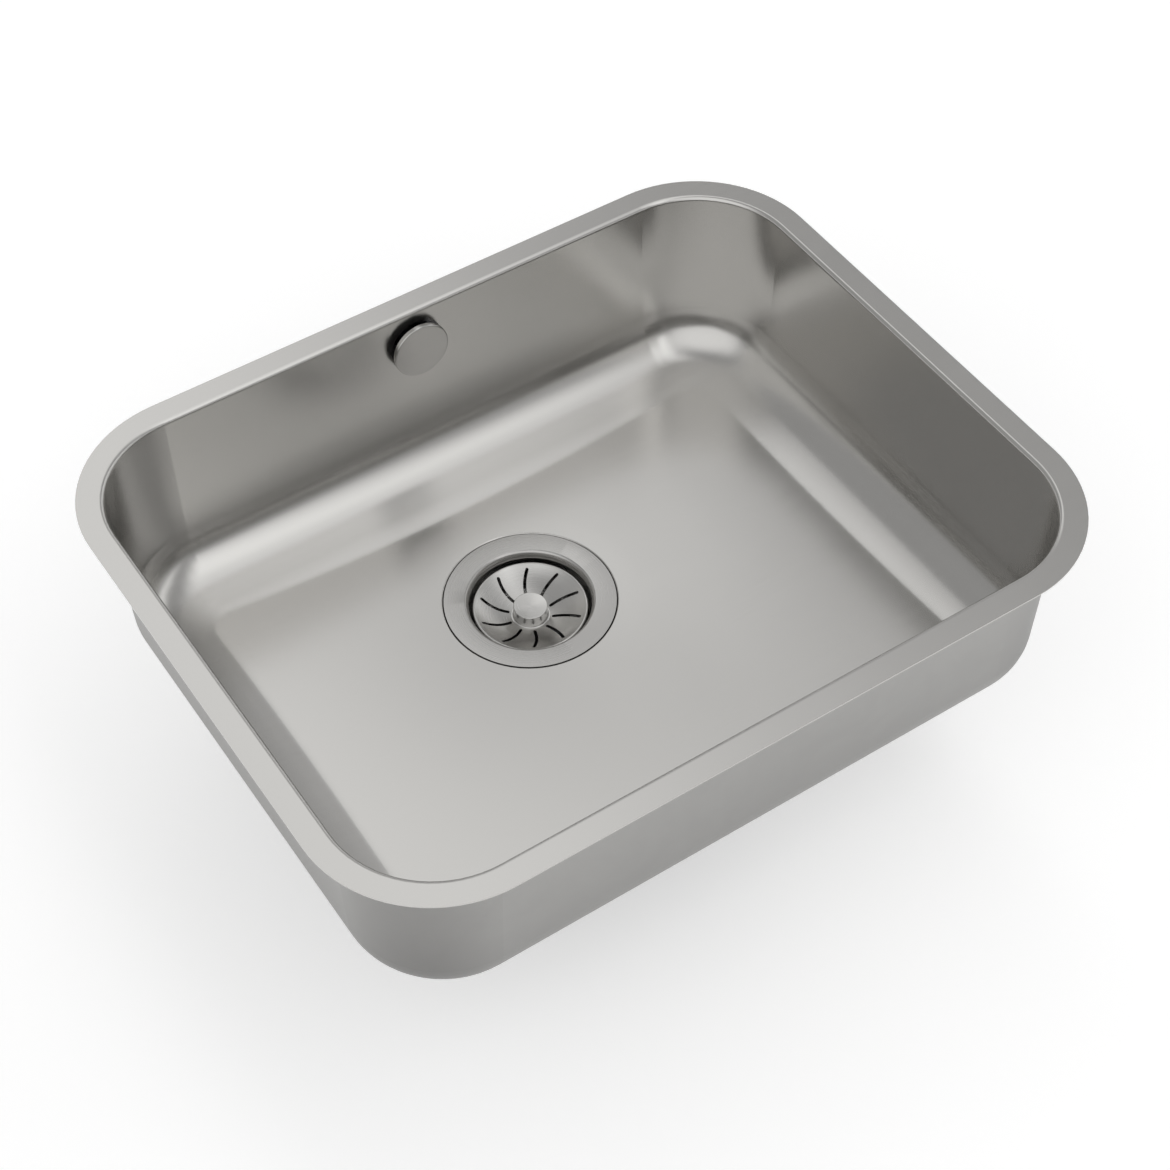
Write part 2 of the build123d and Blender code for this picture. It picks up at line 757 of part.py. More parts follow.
with BuildPart() as overflow_elbow:
    add(elbow_outside)
    with BuildSketch(overflow_face.offset(-gasket_back)):
        Circle(overflow_hole + gasket_lap)
    extrude(amount=-elbow_flange_thickness)
    add(elbow_inside, mode=Mode.SUBTRACT)
    add(elbow_core.part)
    with BuildSketch(overflow_face.offset(boss_front)):
        Circle(elbow_insert_radius)
    extrude(amount=-elbow_insert_length, mode=Mode.SUBTRACT)
    # Counterbore for the hose's cuff
    with BuildSketch(spigot_plane.offset(spigot_length)):
        Circle(cuff_radius + slip)
    extrude(amount=-cuff_insertion, mode=Mode.SUBTRACT)
overflow_elbow.part.label = "overflow_elbow"
export_step(overflow_elbow.part, "parts/overflow_elbow.step")

with BuildPart() as elbow_insert:
    with BuildSketch(overflow_face.offset(boss_front)):
        Circle(elbow_insert_radius)
        Circle(bolt_radius + thread_gap, mode=Mode.SUBTRACT)
    extrude(amount=-elbow_insert_length)
elbow_insert.part.label = "elbow_insert"
export_step(elbow_insert.part, "parts/elbow_insert.step")

# ---------------------------------------------------------------- overflow hose
hose_top = spigot_end + cuff_insertion
hose_end = inlet_end - cuff_insertion
hose_route = FilletPolyline(
    hose_plane.from_local_coords((hose_run, hose_top)),
    hose_plane.from_local_coords((hose_run, inlet_z)),
    hose_plane.from_local_coords((hose_end, inlet_z)),
    radius=hose_bend,
)
hose_length = hose_route.length


def hose_station(distance):
    """The plane square to the hose at a distance along it, its X always sideways."""
    along = distance / hose_length
    return Plane(origin=hose_route @ along, x_dir=hose_side, z_dir=hose_route % along)


ribbed_length = hose_length - 2 * cuff_length
rib_count = int(ribbed_length / rib_pitch)
rib_step = ribbed_length / rib_count
crest_length = rib_step / 2 - rib_flank

# Radius of the hose at each turn of its outline, from one end to the other
outline = [(0.0, cuff_radius), (cuff_length, cuff_radius)]
for rib in range(rib_count):
    rib_start = cuff_length + rib * rib_step
    outline.append((rib_start + rib_flank, hose_crest))
    outline.append((rib_start + rib_flank + crest_length, hose_crest))
    outline.append((rib_start + 2 * rib_flank + crest_length, hose_valley))
    outline.append((rib_start + rib_step, hose_valley))
outline[-1] = (hose_length - cuff_length, cuff_radius)
outline.append((hose_length, cuff_radius))

with BuildPart() as overflow_hose:
    for distance, reach in outline:
        with BuildSketch(hose_station(distance)):
            Circle(reach)
    loft(ruled=True)
    with BuildSketch(hose_station(0)):
        Circle(hose_bore)
    sweep(path=hose_route, mode=Mode.SUBTRACT)
overflow_hose.part.label = "overflow_hose"
export_step(overflow_hose.part, "parts/overflow_hose.step")
print("hose length", round(hose_length, 1), "ribs", rib_count)


def nut_and_washer(end_plane, name):
    """The nut that screws over a spigot's end and the cone washer inside it. The
    plane is the spigot's end face, its normal away from the spigot."""
    with BuildPart() as washer:
        with BuildSketch(end_plane):
            Circle(spigot_radius)
            Circle(cuff_radius + thread_gap, mode=Mode.SUBTRACT)
        extrude(amount=washer_length)
    washer.part.label = name + "_washer"
    export_step(washer.part, "parts/" + name + "_washer.step")
    with BuildPart() as nut:
        with BuildSketch(end_plane.offset(-nut_overlap)):
            Circle(spigot_radius + nut_wall)
            with PolarLocations(spigot_radius + nut_wall / 2, nut_rib_count):
                Rectangle(
                    nut_wall / 2 + nut_rib_height,
                    nut_rib_width,
                    align=(Align.MIN, Align.CENTER),
                )
        extrude(amount=nut_overlap + washer_length + nut_end)
        with BuildSketch(end_plane.offset(-nut_overlap)):
            Circle(spigot_radius + thread_gap)
        extrude(amount=nut_overlap + washer_length, mode=Mode.SUBTRACT)
        with BuildSketch(end_plane.offset(washer_length)):
            Circle(cuff_radius + slip)
        extrude(amount=nut_end, mode=Mode.SUBTRACT)
    nut.part.label = name + "_nut"
    export_step(nut.part, "parts/" + name + "_nut.step")


nut_and_washer(spigot_plane.offset(spigot_length), "upper_hose")
nut_and_washer(inlet_plane.offset(inlet_end), "lower_hose")
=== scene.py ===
from math import atan2, cos, pi, radians, sin, sqrt

import bmesh
import bpy
from mathutils import Matrix, Vector


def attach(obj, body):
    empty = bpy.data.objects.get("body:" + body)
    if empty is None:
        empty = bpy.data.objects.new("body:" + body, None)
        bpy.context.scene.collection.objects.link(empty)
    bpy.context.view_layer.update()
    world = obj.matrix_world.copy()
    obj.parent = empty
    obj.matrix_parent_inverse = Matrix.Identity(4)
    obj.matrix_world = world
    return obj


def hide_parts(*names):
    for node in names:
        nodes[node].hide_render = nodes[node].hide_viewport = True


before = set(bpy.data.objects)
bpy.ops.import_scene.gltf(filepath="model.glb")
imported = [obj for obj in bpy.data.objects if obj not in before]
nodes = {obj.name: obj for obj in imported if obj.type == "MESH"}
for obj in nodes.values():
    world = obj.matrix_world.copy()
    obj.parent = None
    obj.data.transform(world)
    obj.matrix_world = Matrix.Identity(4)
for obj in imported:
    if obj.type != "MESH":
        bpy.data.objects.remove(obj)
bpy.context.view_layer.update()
bpy.context.scene.view_settings.view_transform = "Standard"

# ---------------------------------------------------------------- camera
# Stands in front of the sink's near corner and looks down into the bowl at about
# fifty degrees, with a long lens.
camera_place = Vector((-0.54185, -0.82843, 1.08682))
camera_look = Vector((0.35511, 0.53946, -0.76346))
camera_right = Vector((0.83285, -0.55348, -0.00371))
camera_up = camera_right.cross(camera_look)
camera_data = bpy.data.cameras.new("photo_camera")
camera_data.lens = 73.84
camera_data.sensor_width = 36
camera = bpy.data.objects.new("photo_camera", camera_data)
bpy.context.scene.collection.objects.link(camera)
camera.matrix_world = (
    Matrix.Translation(camera_place)
    @ Matrix((camera_right, camera_up, -camera_look)).transposed().to_4x4()
)
bpy.context.scene.camera = camera

# ---------------------------------------------------------------- overflow hose
# Ribbed polypropylene hose that leads the overflow's water to the waste. It is blown
# in one piece with a plain cuff at each end, and each cuff is pushed into a spigot.
hose_route = ((0, 0.2218, -0.05837), (0, 0.2218, -0.187), (-0.00635, 0.11488, -0.187))
hose_cuff = 0.018
hose_cuff_plain = hose_cuff * 0.9  # the cuff before its shoulder
hose_cuff_radius = 0.0102
hose_crest = 0.0115
hose_valley = 0.0093
hose_bore = 0.008
hose_bore_rings = 24
hose_ribs = 37
hose_sides = 40

line = bpy.data.curves.new("hose_line", "CURVE")
line.dimensions = "3D"
line.resolution_u = 200
spline = line.splines.new("NURBS")
spline.points.add(len(hose_route) - 1)
for point, place in zip(spline.points, hose_route):
    point.co = (*place, 1)
spline.order_u = 3
spline.use_endpoint_u = True
line_object = bpy.data.objects.new("hose_line", line)
bpy.context.scene.collection.objects.link(line_object)
line_mesh = bpy.data.meshes.new_from_object(line_object)
hose_path = [v.co.copy() for v in line_mesh.vertices]
bpy.data.meshes.remove(line_mesh)
bpy.data.objects.remove(line_object)
bpy.data.curves.remove(line)

hose_marks = [0.0]
for before, after in zip(hose_path, hose_path[1:]):
    hose_marks.append(hose_marks[-1] + (after - before).length)
hose_length = hose_marks[-1]
hose_side = (hose_path[0] - hose_path[len(hose_path) // 2]).cross(
    hose_path[-1] - hose_path[0]
).normalized()


def hose_station(distance):
    """Place and direction of the hose's line at a distance along it."""
    step = 1
    while step < len(hose_marks) - 1 and hose_marks[step] < distance:
        step += 1
    before, after = hose_path[step - 1], hose_path[step]
    share = (distance - hose_marks[step - 1]) / (hose_marks[step] - hose_marks[step - 1])
    ahead = hose_path[min(step + 1, len(hose_path) - 1)] - hose_path[max(step - 2, 0)]
    return before.lerp(after, share), ahead.normalized()


# The wall's outline, as distance along the hose and radius: cuff, shoulder, ribs with
# rounded crests and valleys, cuff, and back along the bore
hose_outline = [(0.0, hose_cuff_radius), (hose_cuff_plain, hose_cuff_radius)]
rib_pitch = (hose_length - 2 * hose_cuff) / hose_ribs
rib_form = ((0.0, 0.0), (0.10, 0.12), (0.17, 0.6), (0.25, 0.9), (0.36, 1.0),
            (0.47, 0.9), (0.55, 0.6), (0.62, 0.12), (0.72, 0.0), (0.86, 0.0))
for rib in range(hose_ribs):
    for along, share in rib_form:
        hose_outline.append((
            hose_cuff + (rib + along) * rib_pitch,
            hose_valley + share * (hose_crest - hose_valley),
        ))
hose_outline += [
    (hose_length - hose_cuff_plain, hose_cuff_radius),
    (hose_length, hose_cuff_radius),
    (hose_length, hose_bore),
]
for ring in range(hose_bore_rings - 1, 0, -1):
    hose_outline.append((hose_length * ring / hose_bore_rings, hose_bore))
hose_outline.append((0.0, hose_bore))

shape = bmesh.new()
rings = []
for distance, reach in hose_outline:
    place, ahead = hose_station(distance)
    upward = ahead.cross(hose_side).normalized()
    rings.append([
        shape.verts.new(place + reach * (cos(a) * hose_side + sin(a) * upward))
        for a in (2 * pi * side / hose_sides for side in range(hose_sides))
    ])
for this, after in zip(rings, rings[1:] + rings[:1]):
    for side in range(hose_sides):
        onward = (side + 1) % hose_sides
        shape.faces.new((this[side], this[onward], after[onward], after[side]))
bmesh.ops.recalc_face_normals(shape, faces=shape.faces)
hose_mesh = bpy.data.meshes.new("overflow_pipe")
shape.to_mesh(hose_mesh)
shape.free()
hose = bpy.data.objects.new("overflow_pipe", hose_mesh)
bpy.context.scene.collection.objects.link(hose)


def take_up(piece):
    """Selects one piece alone, so that operators work on nothing else."""
    bpy.ops.object.select_all(action="DESELECT")
    piece.select_set(True)
    bpy.context.view_layer.objects.active = piece


take_up(hose)
bpy.ops.object.shade_smooth_by_angle(angle=radians(50))
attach(hose, "sink")
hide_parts("overflow_hose")


def feed(tree, socket, value):
    """Gives an input a number, a vector or a colour, or links another node to it."""
    if isinstance(value, bpy.types.NodeSocket):
        tree.links.new(value, socket)
    else:
        socket.default_value = value


def add_node(tree, kind, **settings):
    """A new node with its settings and inputs, From_Min= for an input From Min."""
    node = tree.nodes.new(kind)
    for name, value in settings.items():
        if name.replace("_", " ") in node.inputs:
            feed(tree, node.inputs[name.replace("_", " ")], value)
        else:
            setattr(node, name, value)
    return node


def work_out(tree, operation, *values):
    """What a Math node makes of its inputs, each a socket or a number."""
    node = add_node(tree, "ShaderNodeMath", operation=operation)
    for socket, value in zip(node.inputs, values):
        feed(tree, socket, value)
    return node.outputs[0]


def object_place(tree):
    """Where on the part a point of the surface lies, in metres."""
    return tree.nodes.new("ShaderNodeTexCoord").outputs["Object"]


def new_finish(name):
    """A new material, with its tree and its surface shader."""
    material = bpy.data.materials.new(name)
    material.use_nodes = True
    return material, material.node_tree, material.node_tree.nodes["Principled BSDF"]


def tinted(tree, share, first, last, first_share=0.3, last_share=0.7):
    """A colour between the first and the last of a finish, by a share."""
    ramp = add_node(tree, "ShaderNodeValToRGB", Fac=share)
    first_stop, last_stop = ramp.color_ramp.elements
    first_stop.position, last_stop.position = first_share, last_share
    first_stop.color, last_stop.color = (*first, 1), (*last, 1)
    return ramp.outputs["Color"]


def finish_in(material, *pieces):
    """Gives pieces or CAD nodes one material."""
    for piece in pieces:
        piece.data.materials.clear()
        piece.data.materials.append(material)


# Moulded plastic: cloudy colour, an uneven gloss and the fine skin of the mould
moulded = bpy.data.node_groups.new("moulded_skin", "ShaderNodeTree")
moulded.interface.new_socket("Skin scale", in_out="INPUT", socket_type="NodeSocketFloat")
moulded.interface.new_socket("Cloud", in_out="OUTPUT", socket_type="NodeSocketFloat")
moulded.interface.new_socket("Skin", in_out="OUTPUT", socket_type="NodeSocketFloat")
scale_in = moulded.nodes.new("NodeGroupInput").outputs["Skin scale"]
place = object_place(moulded)
cloud = add_node(
    moulded, "ShaderNodeTexNoise", Vector=place, Scale=55, Detail=3, Roughness=0.6
)
grit = add_node(
    moulded, "ShaderNodeTexNoise", Vector=place, Scale=scale_in, Detail=2, Roughness=0.55
)
cells = add_node(
    moulded, "ShaderNodeTexVoronoi", feature="F1", Vector=place, Scale=scale_in
)
skin = work_out(moulded, "MULTIPLY_ADD", cells.outputs["Distance"], 0.6, grit.outputs["Fac"])
add_node(moulded, "NodeGroupOutput", Cloud=cloud.outputs["Fac"], Skin=skin)


def moulding(name, dark, pale, roughness, skin_scale, depth):
    """A moulded plastic or rubber, from its darkest to its palest colour."""
    material, tree, surface = new_finish(name)
    mould = add_node(tree, "ShaderNodeGroup", node_tree=moulded, Skin_scale=skin_scale)
    cloud = mould.outputs["Cloud"]
    gloss = add_node(
        tree, "ShaderNodeMapRange", Value=cloud, From_Min=0.3, From_Max=0.75,
        To_Min=roughness - 0.07, To_Max=roughness + 0.09,
    )
    bump = add_node(
        tree, "ShaderNodeBump", Strength=0.6, Distance=depth, Height=mould.outputs["Skin"]
    )
    feed(tree, surface.inputs["Base Color"], tinted(tree, cloud, dark, pale))
    feed(tree, surface.inputs["Roughness"], gloss.outputs["Result"])
    feed(tree, surface.inputs["Normal"], bump.outputs["Normal"])
    return material


hose_plastic = moulding(
    "hose_plastic", dark=(0.55, 0.55, 0.53), pale=(0.66, 0.66, 0.64),
    roughness=0.42, skin_scale=900, depth=0.00004,
)
finish_in(hose_plastic, hose)

# ---------------------------------------------------------------- studio
# A white floor that keeps the sink's shadow, and a grey room with a white band low
# round it. The light comes from a long softbox overhead, a little to the right, from a
# broad one beside the camera, and from the room's right side.
floor_height = -0.245
floor_shine = 0.34  # lifts the floor to white where the camera or metal sees it
bpy.ops.mesh.primitive_plane_add(size=60, location=(0, 0, floor_height))
floor = bpy.context.object
floor.name = "studio_floor"
floor_paint, tree, surface = new_finish("studio_floor")
surface.inputs["Base Color"].default_value = (0.9, 0.9, 0.9, 1)
surface.inputs["Roughness"].default_value = 1
surface.inputs["Specular IOR Level"].default_value = 0
surface.inputs["Emission Color"].default_value = (1, 1, 1, 1)
rays = tree.nodes.new("ShaderNodeLightPath").outputs
seen = work_out(tree, "MAXIMUM", rays["Is Camera Ray"], rays["Is Glossy Ray"])
seen = work_out(tree, "MAXIMUM", seen, rays["Is Transmission Ray"])
shine = work_out(tree, "MULTIPLY", seen, floor_shine)
feed(tree, surface.inputs["Emission Strength"], shine)
finish_in(floor_paint, floor)


def split(tree, vector):
    """The three parts of a vector."""
    return add_node(tree, "ShaderNodeSeparateXYZ", Vector=vector).outputs


def vector_work(tree, operation, *values):
    """What a Vector Math node makes of its inputs, each a socket or a vector."""
    node = add_node(tree, "ShaderNodeVectorMath", operation=operation)
    for socket, value in zip(node.inputs, values):
        feed(tree, socket, value)
    return node.outputs["Value" if operation in ("DISTANCE", "DOT_PRODUCT") else "Vector"]


def soft_edge(tree, value, dark_at, bright_at):
    """Rises smoothly from 0 where the value is dark_at to 1 where it is bright_at."""
    edge = add_node(
        tree, "ShaderNodeMapRange", interpolation_type="SMOOTHSTEP", Value=value,
        From_Min=dark_at, From_Max=bright_at,
    )
    return edge.outputs["Result"]


# A soft edge is a pair: where the light has gone, and where it is full. Places to the
# side and ahead are measured on a level sheet, one unit above the sink.
room_light = 0.42
softbox_left, softbox_right, softbox_ends = (0.02, 0.24), (0.72, 0.24), (2.6, 1.9)
softbox_front = (0.1, -0.5)
softbox_light, softbox_front_light = 0.86, 0.32
camera_side = (-0.60, -0.52, 0.608)
camera_side_edge = (0.62, 0.92)
camera_side_light = 0.7
right_side, right_side_foot = (1.1, 1.8), (0.28, 0.42)
right_side_light = 0.85
backdrop_top = (0.22, 0.12)
least_height = 0.02  # keeps places on the sheet finite at the horizon

room = bpy.data.worlds.new("studio_room")
bpy.context.scene.world = room
room.use_nodes = True
tree = room.node_tree
towards = tree.nodes.new("ShaderNodeTexCoord").outputs["Generated"]
sideways, lengthways, height = split(tree, towards)
sheet_height = work_out(tree, "MAXIMUM", height, least_height)
aside = work_out(tree, "DIVIDE", sideways, sheet_height)
ahead = work_out(tree, "DIVIDE", lengthways, sheet_height)
overhead = work_out(tree, "MULTIPLY", soft_edge(tree, aside, *softbox_left),
                    soft_edge(tree, aside, *softbox_right))
overhead = work_out(tree, "MULTIPLY", overhead,
                    soft_edge(tree, work_out(tree, "ABSOLUTE", ahead), *softbox_ends))
frontward = work_out(tree, "MULTIPLY_ADD", soft_edge(tree, ahead, *softbox_front),
                     softbox_front_light, softbox_light)
overhead = work_out(tree, "MULTIPLY", overhead, frontward)
beside = soft_edge(tree, vector_work(tree, "DOT_PRODUCT", towards, camera_side),
                   *camera_side_edge)
beside = work_out(tree, "MULTIPLY", beside, camera_side_light)
at_right = work_out(tree, "MULTIPLY", soft_edge(tree, aside, *right_side),
                    soft_edge(tree, height, *right_side_foot))
at_right = work_out(tree, "MULTIPLY", at_right, right_side_light)
light = work_out(tree, "ADD", work_out(tree, "ADD", overhead, beside), at_right)
light = work_out(tree, "MAXIMUM", work_out(tree, "ADD", light, room_light),
                 soft_edge(tree, height, *backdrop_top))
feed(tree, tree.nodes["Background"].inputs["Strength"], light)
tree.nodes["Background"].inputs["Color"].default_value = (1, 1, 1, 1)

# ---------------------------------------------------------------- bowl
# Pressed from one sheet of stainless steel. Its inside and its rim are satin brushed
# along the sink's length, and its outside keeps the duller skin of the rolled sheet,
# with painted shade that darkens it low down and at its corners.
drain = (-0.0105, 0.045)
lines = bpy.data.node_groups.new("brushed_lines", "ShaderNodeTree")
lines.interface.new_socket("Strokes", in_out="INPUT", socket_type="NodeSocketVector")
lines.interface.new_socket("Lines", in_out="OUTPUT", socket_type="NodeSocketFloat")
strokes_in = lines.nodes.new("NodeGroupInput").outputs["Strokes"]
fine = add_node(
    lines, "ShaderNodeTexNoise", Vector=strokes_in, Scale=1, Detail=3, Roughness=0.65
)
broad = add_node(
    lines, "ShaderNodeTexNoise", Vector=strokes_in, Scale=0.17, Detail=2, Roughness=0.5
)
fine_share, broad_share = 0.65, 0.35
both = work_out(lines, "ADD", work_out(lines, "MULTIPLY", fine.outputs["Fac"], fine_share),
                work_out(lines, "MULTIPLY", broad.outputs["Fac"], broad_share))
add_node(lines, "NodeGroupOutput", Lines=both)

# Faint large clouds that handling and wiping leave in a satin finish
wiped = bpy.data.node_groups.new("wiped_clouds", "ShaderNodeTree")
wiped.interface.new_socket("Clouds", in_out="OUTPUT", socket_type="NodeSocketFloat")
large = add_node(
    wiped, "ShaderNodeTexNoise", Vector=object_place(wiped), Scale=9, Detail=4,
    Roughness=0.55, Distortion=0.6,
)
add_node(wiped, "NodeGroupOutput", Clouds=large.outputs["Fac"])


def brushed(tree, **place):
    """Brush lines that run along the slow parts of a place, and cross its fast one."""
    vector = add_node(tree, "ShaderNodeCombineXYZ", **place)
    group = add_node(tree, "ShaderNodeGroup", node_tree=lines, Strokes=vector.outputs[0])
    return group.outputs["Lines"]


def face_normal(tree):
    """Which way the surface faces, before any bump."""
    return tree.nodes.new("ShaderNodeNewGeometry").outputs["Normal"]


def strokes_along_sides(tree):
    """Brush lines along X on the flat faces, and level round the upright walls."""
    along_scale, across_scale = 14, 2600
    wall_until, flat_from = 0.45, 0.75
    x, y, z = split(tree, object_place(tree))
    flats, walls = (
        brushed(tree, X=work_out(tree, "MULTIPLY", along, along_scale),
                Y=work_out(tree, "MULTIPLY", across, across_scale))
        for along, across in ((x, y), (work_out(tree, "ADD", x, y), z))
    )
    upward = work_out(tree, "ABSOLUTE", split(tree, face_normal(tree))[2])
    level = add_node(
        tree, "ShaderNodeMapRange", Value=upward, From_Min=wall_until, From_Max=flat_from
    )
    mix = add_node(tree, "ShaderNodeMix", Factor=level.outputs["Result"], A=walls, B=flats)
    return mix.outputs["Result"]


def satin(tree, strokes, dark, pale, roughness, spread, depth):
    """Finishes a steel from its brush lines: tint, gloss and depth of the lines."""
    surface = tree.nodes["Principled BSDF"]
    surface.inputs["Metallic"].default_value = 1
    wipe = add_node(tree, "ShaderNodeGroup", node_tree=wiped)
    line_share, cloud_share = 0.6, 0.4
    worn = work_out(tree, "ADD", work_out(tree, "MULTIPLY", strokes, line_share),
                    work_out(tree, "MULTIPLY", wipe.outputs["Clouds"], cloud_share))
    tint = tinted(tree, worn, dark, pale)
    gloss = add_node(
        tree, "ShaderNodeMapRange", Value=worn, From_Min=0.3, From_Max=0.7,
        To_Min=roughness - spread, To_Max=roughness + spread,
    ).outputs["Result"]
    grain = add_node(tree, "ShaderNodeBump", Strength=0.5, Distance=depth, Height=strokes)
    feed(tree, surface.inputs["Base Color"], tint)
    feed(tree, surface.inputs["Roughness"], gloss)
    feed(tree, surface.inputs["Normal"], grain.outputs["Normal"])
    return tint, gloss, grain


bowl_steel, tree, surface = new_finish("bowl_steel")
brushed_tint, brushed_gloss, grain = satin(
    tree, strokes_along_sides(tree),
    dark=(0.543, 0.535, 0.518), pale=(0.575, 0.567, 0.55),
    roughness=0.24, spread=0.02, depth=0.000001,
)
place = object_place(tree)
facing = face_normal(tree)
height = split(tree, place)[2]
turned_x, turned_y, turned_up = split(tree, facing)
level_place = vector_work(tree, "MULTIPLY", place, (1, 1, 0))

# The floor's creases come out of the press slightly rounded, outside the drain's
# recess, and the pressed floor dips evenly towards the drain
floor_starts = (-0.118, -0.125)
recess_ends = (0.068, 0.078)
crease_radius = 0.007
dip_depth = 0.034
dip_reach, dip_blend = 0.15, 0.12
to_drain = vector_work(tree, "DISTANCE", level_place, (*drain, 0))
on_floor = soft_edge(tree, height, *floor_starts)
rounded = add_node(tree, "ShaderNodeBevel", samples=6, Radius=crease_radius)
creased = work_out(tree, "MULTIPLY", on_floor, soft_edge(tree, to_drain, *recess_ends))
creases = add_node(
    tree, "ShaderNodeMix", data_type="VECTOR", Factor=creased, A=facing,
    B=rounded.outputs["Normal"],
)
dip = add_node(
    tree, "ShaderNodeBump", Strength=on_floor, Distance=dip_depth,
    Height=work_out(tree, "SMOOTH_MIN", to_drain, dip_reach, dip_blend),
    Normal=creases.outputs["Result"],
)
feed(tree, grain.inputs["Normal"], dip.outputs["Normal"])

# The outside is below the rim and faces away from the bowl's middle, or faces down
rim_underside = -0.0011
least_outwards, facing_down = 0.02, -0.25
outwards = vector_work(tree, "DOT_PRODUCT", level_place, facing)
walls = work_out(tree, "MULTIPLY", work_out(tree, "GREATER_THAN", outwards, least_outwards),
                 work_out(tree, "LESS_THAN", height, rim_underside))
under = work_out(tree, "LESS_THAN", turned_up, facing_down)
outside = work_out(tree, "MAXIMUM", walls, under)

# Painted shade: the outside's colour is darker low down and at the corners, where it mirrors
# shade
shade_heights, low_shade_share = (0.0, -0.17), 0.5
skin_roughness, skin_spread = 0.36, 0.16
low_shade = soft_edge(tree, height, *shade_heights)
corner_shade = work_out(tree, "ABSOLUTE", work_out(tree, "MULTIPLY", turned_x, turned_y))
painted_shade = work_out(tree, "ADD", work_out(tree, "MULTIPLY", low_shade, low_shade_share), corner_shade)
# Painted shade: the outside's tint goes from its own colour to a darker one by that share
shaded_skin = tinted(
    tree, painted_shade, first=(0.39, 0.385, 0.375), last=(0.20, 0.197, 0.192),
    first_share=0, last_share=1,
)
clouds = add_node(
    tree, "ShaderNodeTexNoise", Vector=place, Scale=24, Detail=5, Roughness=0.6,
    Distortion=0.8,
).outputs["Fac"]
mottled = add_node(
    tree, "ShaderNodeMix", data_type="RGBA", blend_type="OVERLAY", Factor=0.12,
    A=shaded_skin, B=clouds,
)
skin_tint = add_node(
    tree, "ShaderNodeMix", data_type="RGBA", Factor=outside, A=brushed_tint,
    B=mottled.outputs["Result"],
)
skin_gloss = add_node(
    tree, "ShaderNodeMix", Factor=outside, A=brushed_gloss,
    B=work_out(tree, "ADD", work_out(tree, "MULTIPLY", clouds, skin_spread), skin_roughness),
)
feed(tree, surface.inputs["Base Color"], skin_tint.outputs["Result"])
feed(tree, surface.inputs["Roughness"], skin_gloss.outputs["Result"])
finish_in(bowl_steel, nodes["bowl"])

# ---------------------------------------------------------------- sound pad
# Sheet of filled bitumen rubber, stuck under the floor to deaden the noise of water.
# Its face is coarse and nearly without gloss.
pad_rubber = moulding(
    "pad_rubber", dark=(0.07, 0.07, 0.07), pale=(0.12, 0.12, 0.118),
    roughness=0.8, skin_scale=420, depth=0.00025,
)
finish_in(pad_rubber, nodes["sound_pad"])

# ---------------------------------------------------------------- waste flange
# Pressed steel cup whose lip lies in the floor's recess, finished on a lathe with fine
# circular lines. Its mouth is rolled over, into a throat close round the strainer.


def turned_steel(name, dark, pale, roughness, spread, depth, anisotropy):
    """Steel finished on a lathe round the drain: circles on flats, level on walls."""
    round_scale, across_scale = 1.5, 3600
    material, tree, surface = new_finish(name)
    moved = add_node(
        tree, "ShaderNodeMapping", Vector=object_place(tree),
        Location=(-drain[0], -drain[1], 0),
    )
    x, y, z = split(tree, moved.outputs[0])
    reach = work_out(tree, "SQRT", work_out(
        tree, "ADD", work_out(tree, "MULTIPLY", x, x), work_out(tree, "MULTIPLY", y, y)))
    round_x, round_y = (
        work_out(tree, "MULTIPLY", work_out(tree, "DIVIDE", part, reach), round_scale)
        for part in (x, y)
    )
    outward = work_out(tree, "MULTIPLY", work_out(tree, "ADD", reach, z), across_scale)
    strokes = brushed(tree, X=round_x, Y=outward, Z=round_y)
    satin(tree, strokes, dark, pale, roughness, spread, depth)
    # The lathe's cut runs round the drain, and the gloss spreads across it
    cut = add_node(
        tree, "ShaderNodeCombineXYZ", X=work_out(tree, "MULTIPLY", y, -1), Y=x
    ).outputs[0]
    surface.inputs["Anisotropic"].default_value = anisotropy
    feed(tree, surface.inputs["Tangent"], vector_work(tree, "NORMALIZE", cut))
    return material


def from_drain(place):
    """The level way from the drain's axis to a place."""
    return Vector((place.x - drain[0], place.y - drain[1], 0))


def merge_doubles():
    """Joins the corners of a piece in edit mode that lie on one another."""
    bpy.ops.mesh.select_all(action="SELECT")
    bpy.ops.mesh.remove_doubles(threshold=0.000002)


def merged_copy(node, name):
    """A solid's mesh as a piece of its own, with its loose triangles joined."""
    piece = node.copy()
    piece.data = node.data.copy()
    piece.data.transform(node.matrix_world)
    piece.parent = None
    piece.matrix_world = Matrix.Identity(4)
    piece.name = piece.data.name = name
    bpy.context.scene.collection.objects.link(piece)
    take_up(piece)
    bpy.ops.object.mode_set(mode="EDIT")
    merge_doubles()
    bpy.ops.object.mode_set(mode="OBJECT")
    return piece


waste_steel = turned_steel(
    "waste_steel", dark=(0.455, 0.448, 0.435), pale=(0.485, 0.478, 0.465),
    roughness=0.27, spread=0.015, depth=0.000001, anisotropy=0.5,
)
lip_top = -0.135
cup_mouth_round = 0.0025
cup_wall, cup_wall_taper, cup_wall_depth = 0.0430, 0.0015, 0.038
cup_wall_band = (0.035, 0.048)  # radii that hold the wall and nothing else
throat = 0.0408  # the throat's narrowest radius
throat_mouth = 0.0033  # how much wider its mouth is
throat_roll = 0.006  # depth of the rolled mouth
throat_depth = 0.02  # below this, the wall is the solid's own
throat_flare = 0.0014  # how much wider the wall is there
throat_cuts = (0.0003, 0.0007, 0.0012, 0.0018, 0.0025, 0.0033, 0.0042, 0.0052, 0.0062,
               0.008, 0.011, 0.015, throat_depth)

